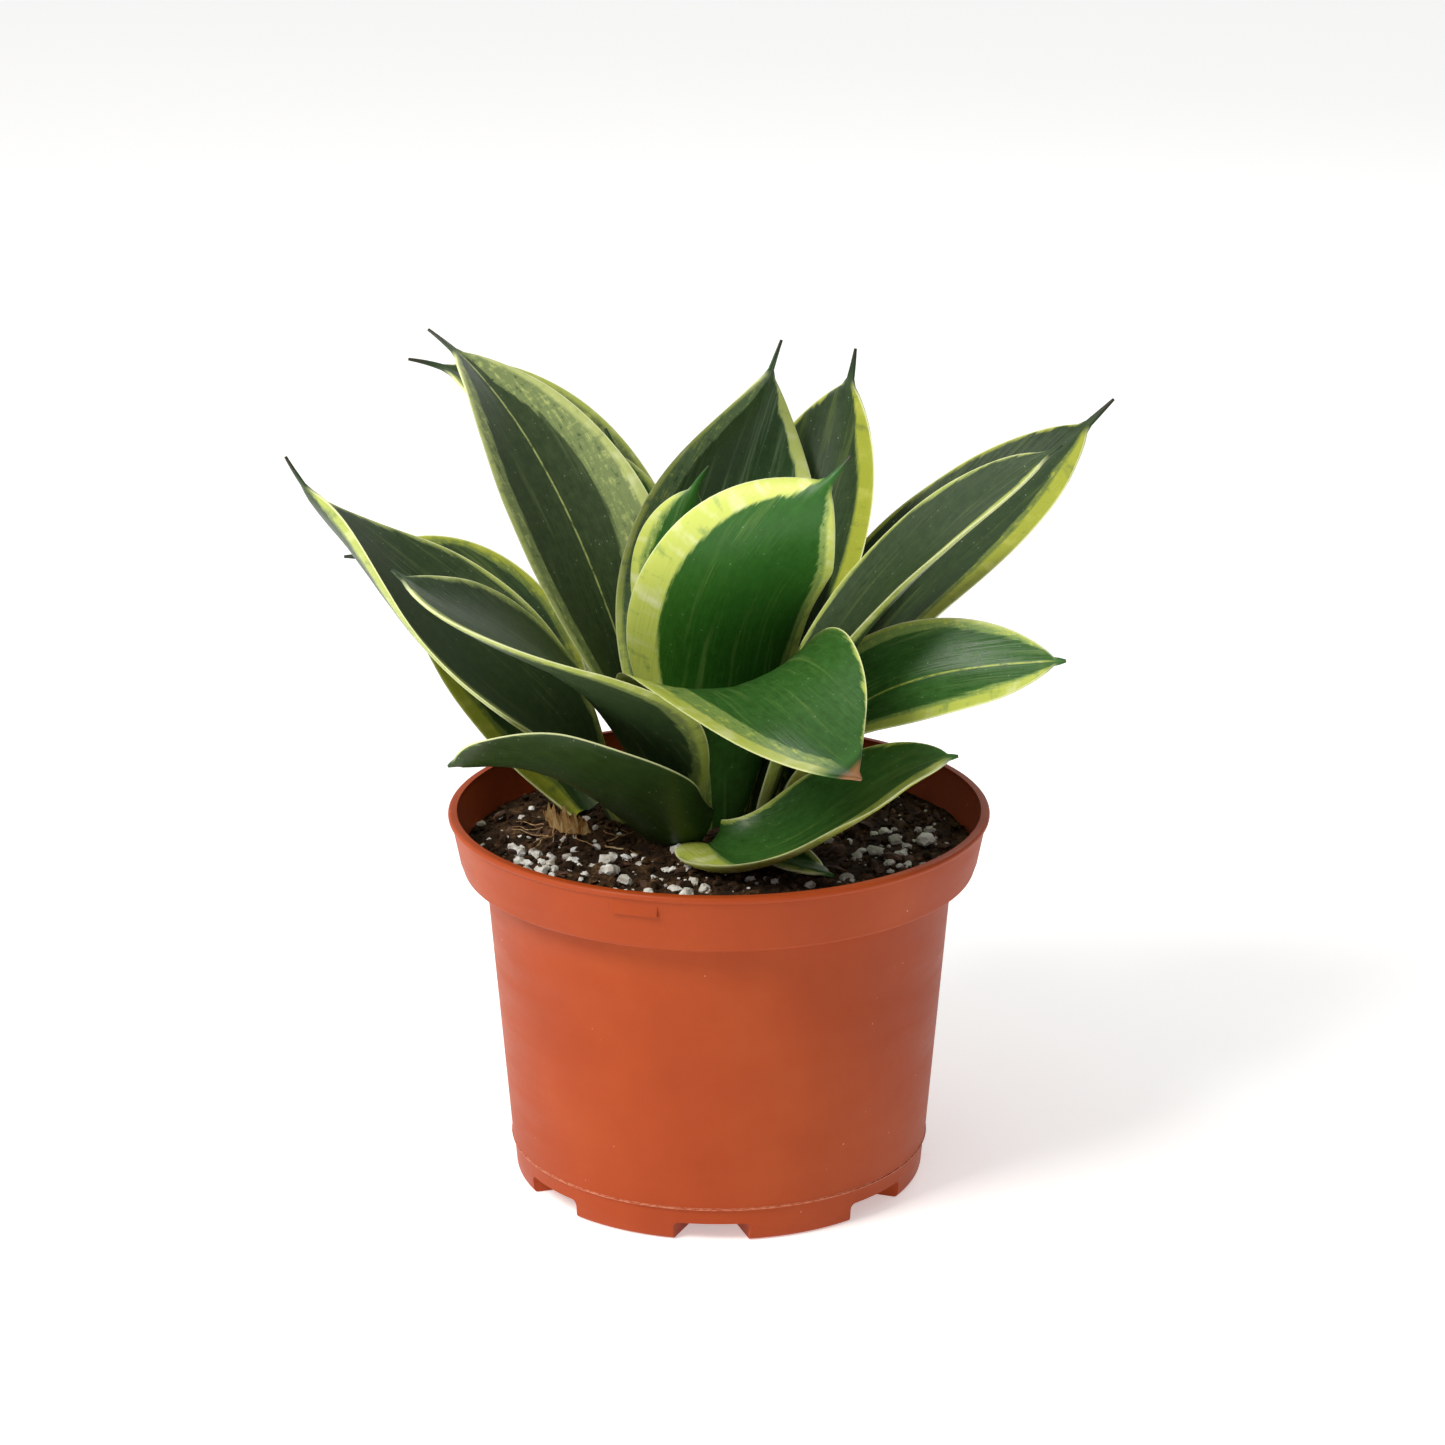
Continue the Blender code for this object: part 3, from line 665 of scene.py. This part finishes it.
def leaf_blade(leaf, seed, borders, ripple, rows=64, columns=16):
    """The blade as a closed skin: both faces, a thin rounded margin, a midrib and a soft ripple.

    Its points carry "blade" (mm across from the midrib, mm from the foot, mm past the blade's
    end) and "zone" (mm in from the margin, from its lime border and from its mottled border).
    """
    share, midrib, side, normal = leaf_course(leaf, rows)
    halves = half_width(leaf, share)
    # how far each half curls up from the midrib: most at the foot, least at the tip
    curls = np.radians(blend((70, 40, 30), share))
    places = np.sin(np.linspace(-math.pi / 2, math.pi / 2, columns + 1))
    ring = [(place, 1) for place in places] + [(place, -1) for place in places[-2:0:-1]]
    blade_end = leaf.get("spike", usual_blade_end) * leaf["length"]
    bm = bmesh.new()
    blade = bm.verts.layers.float_vector.new("blade")
    zone = bm.verts.layers.float_vector.new("zone")
    last = None
    for part, point, across, up, half, curl in zip(share, midrib, side, normal, halves, curls):
        row = []
        length = part * leaf["length"]
        for place, face in ring:
            out = half * math.sin(curl * place) / curl
            lift = half * (1 - math.cos(curl * place)) / curl
            turned = up * math.cos(curl * place) - across * math.sin(curl * place)
            spot = point + across * out + up * lift
            spot[2] = max(spot[2], leaf_foot + leaf_thickness / 2 * max(0.5, abs(turned[2])))
            # the margins ripple up and sideways, each in its own way
            wave = noise.noise(Vector((length / wave_length, seed * 3.7 + (place > 0) * 9.1, 0.5)))
            sway = noise.noise(Vector((length / sway_length, seed * 5.3 + (place > 0) * 4.7, 2.5)))
            spot = spot + (turned * wave + across * sway) * ripple * abs(place) ** 3 * min(1, half / 10)
            # thinner towards its rounded margins, with a groove along the midrib
            thick = leaf_thickness * (1 - 0.55 * abs(place) ** 3) * min(1.0, 0.35 + half / 5)
            rounding = math.sqrt(max(0.0, 1 - abs(place) ** 16))
            groove = -groove_depth * math.exp(-((half * place / groove_reach) ** 2)) * min(1, half / 6)
            vertex = bm.verts.new(Vector(spot + turned * (face * thick / 2 * rounding + groove)) / 1000)
            # the borders are broader low on the blade and narrow with it at its end
            lime, mottled = borders[0] if place > 0 else borders[1]
            taper = min(1.0, half / 12) * (1.4 - 0.8 * part)
            inset = half * (1 - abs(place))
            vertex[blade] = (half * place, length + seed * 977, length - blade_end)
            vertex[zone] = (inset, inset - lime * taper, inset - (lime + mottled) * taper)
            row.append(vertex)
        if last:
            join_rings(bm, last, row)
        else:
            bm.faces.new(row)
        last = row
    bm.faces.new(last[::-1])
    return bm


def blade_skin(name, colours, streaks, midrib=0.0, gloss=0.4, tip=("#33301F", 0.0, 9.0)):
    """A variegated blade's material: dark centre, grey-green mottled band and lime border.

    The five colours run from the dark centre to the cream of the border. "streaks" is how many
    pale streaks run along the dark centre (on the tall blade behind they are also a painted sheen),
    "midrib" how strongly the pale midrib shows and "tip" the dead end's colour, with where that
    starts and is complete in mm past the blade's end.
    """
    dark, deep, grey, lime, cream = colours
    material, tree, shader = surface(name)
    blade = node(tree, "Attribute", {"attribute_name": "blade"}, 1)
    zone = node(tree, "Attribute", {"attribute_name": "zone"}, 1)
    across = node(tree, "SeparateXYZ", {0: blade}, 0)
    past_end = node(tree, "SeparateXYZ", {0: blade}, 2)
    edge = node(tree, "SeparateXYZ", {0: zone}, 0)
    in_lime = node(tree, "SeparateXYZ", {0: zone}, 1)
    in_dark = node(tree, "SeparateXYZ", {0: zone}, 2)
    # streaks run along the veins: fine ones 1 mm wide, broad ones 4 mm wide
    fine = node(tree, "Mapping", {"Scale": (1 / 1.0, 1 / 28, 0), "Vector": blade})
    fine = node(tree, "TexNoise", {"Scale": 1.0, "Detail": 4.0, "Roughness": 0.6, "Vector": fine})
    broad = node(tree, "Mapping", {"Scale": (1 / 4, 1 / 70, 0), "Vector": blade})
    broad = node(tree, "TexNoise", {"Scale": 1.0, "Detail": 3.0, "Roughness": 0.5, "Vector": broad})
    # ragged cross bands 2 mm apart, and a fine mottle
    bands = node(tree, "Mapping", {"Scale": (1 / 8, 1 / 2, 0), "Vector": blade})
    bands = node(tree, "TexNoise", {"Scale": 1.0, "Detail": 6.0, "Roughness": 0.75, "Vector": bands})
    cloud = node(tree, "Mapping", {"Scale": (1 / 2, 1 / 4.5, 0), "Vector": blade})
    cloud = node(tree, "TexNoise", {"Scale": 1.0, "Detail": 6.0, "Roughness": 0.7, "Vector": cloud})
    # lime border: soft cream patches 5 mm long right across it, with a trace of the streaks
    patches = node(tree, "Mapping", {"Scale": (1 / 16, 1 / 5, 0), "Vector": blade})
    patches = node(tree, "TexNoise", {"Scale": 1.0, "Detail": 3.0, "Roughness": 0.5, "Vector": patches})
    tone = node(tree, "Math", {"operation": "MULTIPLY_ADD", 0: cloud, 1: 0.3, 2: patches})
    tones = [(0.4, grey), (0.56, lime), (0.68, lime), (0.95, cream)]
    border = node(tree, "ValToRGB", {"steps": tones, 0: tone})
    # mottled band: grey-green flecked with lime, across and along
    fleck = node(tree, "Math", {"operation": "MULTIPLY_ADD", 0: bands, 1: 0.7, 2: cloud})
    fleck = node(tree, "Math", {"operation": "MULTIPLY_ADD", 0: fine, 1: 0.5, 2: fleck})
    fleck = node(tree, "MapRange", {0: fleck, 1: 0.78, 2: 1.42})
    tones = [(0.12, deep), (0.36, grey), (0.56, grey), (0.84, lime)]
    flecks = node(tree, "ValToRGB", {"steps": tones, 0: fleck})
    # dark centre: faint bands of a lighter green, grey streaks here and there; on the tall blade behind,
    # these grey streaks are also a painted sheen
    veiled = node(tree, "Math", {"operation": "MULTIPLY_ADD", 0: bands, 1: 0.5, 2: cloud})
    centre = node(tree, "ValToRGB", {"steps": [(0.5, dark), (0.98, deep)], 0: veiled})
    streak_and_sheen_mask = node(tree, "Math", {"operation": "MULTIPLY_ADD", 0: broad, 1: 0.8, 2: fine})
    streak_and_sheen_mask = node(tree, "MapRange", {0: streak_and_sheen_mask, 1: 1.0 - 0.15 * streaks, 2: 1.16, 3: 0.0, 4: streaks})
    patch = node(tree, "MapRange", {0: broad, 1: 0.45, 2: 0.6, 3: 0.0, 4: 1.0})
    streak_and_sheen_mask = node(tree, "Math", {"operation": "MULTIPLY", 0: streak_and_sheen_mask, 1: patch})
    centre = node(tree, "Mix", {"data_type": "RGBA", 0: streak_and_sheen_mask, 6: centre, 7: linear(grey)}, 2)
    # both boundaries wander with the streaks
    wander = node(tree, "MapRange", {0: fine, 1: 0.3, 2: 0.7, 3: -1.1, 4: 1.1})
    stagger = node(tree, "MapRange", {0: broad, 1: 0.3, 2: 0.7, 3: -1.6, 4: 1.6})
    jagged = node(tree, "MapRange", {0: cloud, 1: 0.3, 2: 0.7, 3: -0.7, 4: 0.7})
    shift = node(tree, "Math", {"operation": "ADD", 0: wander, 1: stagger})
    shift = node(tree, "Math", {"operation": "ADD", 0: shift, 1: jagged})
    first = node(tree, "Math", {"operation": "MULTIPLY_ADD", 0: shift, 1: 0.35, 2: in_lime})
    second = node(tree, "Math", {"operation": "MULTIPLY_ADD", 0: shift, 1: 0.5, 2: in_dark})
    first = node(tree, "MapRange", {0: first, 1: -0.5, 2: 0.7, 3: 0.0, 4: 1.0})
    second = node(tree, "MapRange", {0: second, 1: -0.3, 2: 0.4, 3: 0.0, 4: 1.0})
    colour = node(tree, "Mix", {"data_type": "RGBA", 0: first, 6: border, 7: flecks}, 2)
    colour = node(tree, "Mix", {"data_type": "RGBA", 0: second, 6: colour, 7: centre}, 2)
    # the midrib: a pale line half a millimetre wide that comes and goes
    off = node(tree, "Math", {"operation": "ABSOLUTE", 0: across})
    rib = node(tree, "MapRange", {0: off, 1: 0.15, 2: 0.4, 3: midrib, 4: 0.0})
    broken = node(tree, "MapRange", {0: cloud, 1: 0.38, 2: 0.52, 3: 0.1, 4: 1.0})
    rib = node(tree, "Math", {"operation": "MULTIPLY", 0: rib, 1: broken})
    colour = node(tree, "Mix", {"data_type": "RGBA", 0: rib, 6: colour, 7: linear(lime)}, 2)
    # the cartilage edge, a third of a millimetre of pale horn
    horn = node(tree, "MapRange", {0: edge, 1: 0.2, 2: 0.45, 3: 0.9, 4: 0.0})
    colour = node(tree, "Mix", {"data_type": "RGBA", 0: horn, 6: colour, 7: linear("#E6EBB0")}, 2)
    # the spike: dark green, then the dead colour
    dead, start, complete = tip
    spike = node(tree, "MapRange", {0: past_end, 1: start - 3.5, 2: start + 0.5, 3: 0.0, 4: 1.0})
    hard = node(tree, "MapRange", {0: past_end, 1: start, 2: complete, 3: 0.0, 4: 1.0})
    horny = node(tree, "ValToRGB", {"steps": [(0.0, deep), (0.5, dark), (1.0, dead)], 0: hard})
    colour = node(tree, "Mix", {"data_type": "RGBA", 0: spike, 6: colour, 7: horny}, 2)
    # specks of dust and dried water, a third of a millimetre across
    speck = node(tree, "TexVoronoi", {"Scale": 1 / 2.2, "Randomness": 1.0, "Vector": blade})
    speck = node(tree, "MapRange", {0: speck, 1: 0.13, 2: 0.06, 3: 0.0, 4: 0.4})
    dusty = node(tree, "MapRange", {0: cloud, 1: 0.45, 2: 0.6, 3: 0.0, 4: 1.0})
    speck = node(tree, "Math", {"operation": "MULTIPLY", 0: speck, 1: dusty})
    colour = node(tree, "Mix", {"data_type": "RGBA", 0: speck, 6: colour, 7: linear("#D9DAC8")}, 2)
    waxy = node(tree, "MapRange", {0: cloud, 1: 0.3, 2: 0.7, 3: gloss - 0.06, 4: gloss + 0.08})
    ribs = node(tree, "Math", {"operation": "MULTIPLY_ADD", 0: cloud, 1: 0.12, 2: fine})
    bump = node(tree, "Bump", {"Strength": 0.35, "Distance": 0.0005, "Height": ribs})
    settle(shader, {"Base Color": colour, "Roughness": waxy, "Normal": bump})
    settle(shader, {"IOR": 1.45, "Specular IOR Level": 0.4})
    return material


# mature blades: blackish green under a grey bloom, wide mottled bands and dull lime borders
colours = ("#283B20", "#3C502E", "#76864F", "#B2BF5C", "#D2D994")
mature = blade_skin("mature_waxy_blade", colours, 0.3)
colours = ("#2C3C22", "#41522F", "#82925C", "#C0CA7C", "#E0E6AC")
mature_ribbed = blade_skin("mature_ribbed_blade", colours, 0.2, midrib=0.75)
# young blades: clear deep green and bright lime borders that fade to cream
colours = ("#265716", "#336A22", "#8FA95A", "#D2DD6C", "#EEF2BC")
young = blade_skin("young_waxy_blade", colours, 0.3)
# the tall young blade behind: silver-grey streaks all through its dark centre, partly its own streaking and
# partly a painted sheen along the blade
colours = ("#24421B", "#3A5A2E", "#7C9770", "#D3DF80", "#EFF2BE")
streaked_and_sheened = blade_skin("streaked_sheen_waxy_blade", colours, 0.9)
# spreading blades: mid green and glossier, with yellow-lime borders
colours = ("#2B4F1C", "#3C6A2C", "#7F9A50", "#C0CB5A", "#E2E7A6")
spreading = blade_skin("glossy_waxy_blade", colours, 0.3, gloss=0.32)
browned = blade_skin("browned_tip_blade", colours, 0.3, gloss=0.33, tip=("#9A6A42", -5.0, -1.5))
spreading_ribbed = blade_skin("glossy_ribbed_blade", colours, 0.5, midrib=0.75, gloss=0.34)
# sheltered blades: deep green with a violet-grey cast, and old gold borders
colours = ("#22351A", "#30481F", "#6E7F3A", "#A9B03A", "#CBCC62")
sheltered = blade_skin("sheltered_waxy_blade", colours, 0.4)
# the low blade at the front left: all dark, with only its pale edge
colours = ("#22360F", "#2F4818", "#41562B", "#6E8344", "#8C9C5A")
plain = blade_skin("plain_waxy_blade", colours, 0.1)

# each blade's skin, its ripple in mm, and the widths in mm of its lime border and of the
# mottled band inside that, first on its left side as it grows and then on its right
looks = {
    "leaf_back_left_tall": (mature_ribbed, 0.4, (2.5, 4.5), (3, 10)),
    "leaf_back_left_outer": (mature, 0.4, (2, 4), (2, 4)),
    "leaf_centre_back": (streaked_and_sheened, 0.4, (2, 8), (6, 0.5)),
    "leaf_back_right_tall": (sheltered, 0.4, (0.8, 0.5), (8, 1)),
    "leaf_centre_front": (young, 0.5, (4, 3), (9, 0.5)),
    "leaf_heart": (young, 0.3, (1.5, 1), (4.5, 3)),
    "leaf_right_long": (sheltered, 0.5, (0.8, 0.5), (8, 3)),
    "leaf_right_upper": (mature, 0.5, (0.8, 0.5), (3, 1.5)),
    "leaf_right_lower": (spreading_ribbed, 0.6, (1.2, 2.5), (5.5, 2)),
    "leaf_front_folded": (browned, 0.5, (0.5, 0.5), (8, 9)),
    "leaf_front_right_low": (spreading, 1.2, (0.8, 0.5), (8.5, 1)),
    "leaf_front_left_low": (plain, 3.2, (0, 0), (0, 0)),
    "leaf_left_long": (mature, 0.5, (5, 2), (0.8, 1)),
    "leaf_left_upper": (mature, 0.5, (2.5, 2), (1.2, 1.5)),
    "leaf_left_outer": (sheltered, 0.4, (6, 2), (1.5, 2)),
    "leaf_back_centre": (young, 0.4, (3, 3), (3, 3)),
    "leaf_back_low_left": (spreading, 0.6, (4, 3), (4, 3)),
    "leaf_back_low_right": (mature, 0.6, (4, 3), (4, 3)),
    "leaf_front_tip": (spreading, 0.2, (2, 1), (2, 1)),
}
for number, (name, leaf) in enumerate(LEAVES.items()):
    skin_kind, ripple, left, right = looks[name]
    blade = leaf_blade(leaf, number, (left, right), ripple)
    add_piece(name.replace("leaf", "blade", 1), blade, skin_kind, "leaf", name, sharp=80)

# ------------------------------------------------------------------ dry sheath
# The scale leaf that once wrapped the side shoot: dead, papery and golden brown, split along
# its veins and ragged at its top, still held at the shoot's base.
low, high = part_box("dry_sheath")
papery, tree, shader = surface("dried_scale_leaf")
place = node(tree, "TexCoord", {}, 3)
veins = node(tree, "Mapping", {"Scale": (1, 1, 0.12), "Vector": place})
veins = node(tree, "TexNoise", {"Scale": 1000 / 0.9, "Detail": 5.0, "Roughness": 0.65, "Vector": veins})
tone = node(tree, "ValToRGB", {"steps": [(0.3, "#8E5A28"), (0.45, "#CF9C55"), (0.65, "#F0DCA6")], 0: veins})
relief = node(tree, "Bump", {"Strength": 0.7, "Distance": 0.0004, "Height": veins})
settle(shader, {"Base Color": tone, "Roughness": 0.7, "Normal": relief})
inner_radius = 0.0104
levels, steps = 12, 48
bm = bmesh.new()
rows = []
for level in range(levels + 1):
    row = []
    climb = level / levels
    for step in range(steps + 1):
        part = step / steps
        shred = 0.7 + 0.5 * noise.noise(Vector((step * 0.2, 3, 1)))
        shred += 0.2 * noise.noise(Vector((step * 0.7, 8, 1)))
        tall = max(0.12, min(1.0, (0.25 + 0.75 * math.sin(math.pi * part) ** 0.6) * shred * 1.3))
        flare = 0.0015 * climb**2 + 0.0008 * climb * noise.noise(Vector((step * 0.3, 0.5, 2)))
        radius = inner_radius + flare
        angle = math.radians(190 + 90 * part)
        x = shoot.x + radius * math.cos(angle)
        y = shoot.y + radius * math.sin(angle)
        row.append(bm.verts.new((x, y, low.z + (high.z - low.z) * tall * climb)))
    rows.append(row)
for lower, upper in zip(rows, rows[1:]):
    for step in range(steps):
        bm.faces.new([lower[step], lower[step + 1], upper[step + 1], upper[step]])
bmesh.ops.solidify(bm, geom=bm.faces[:], thickness=0.00035)
add_piece("papery_sheath", bm, papery, "dry_sheath", "dry_sheath")
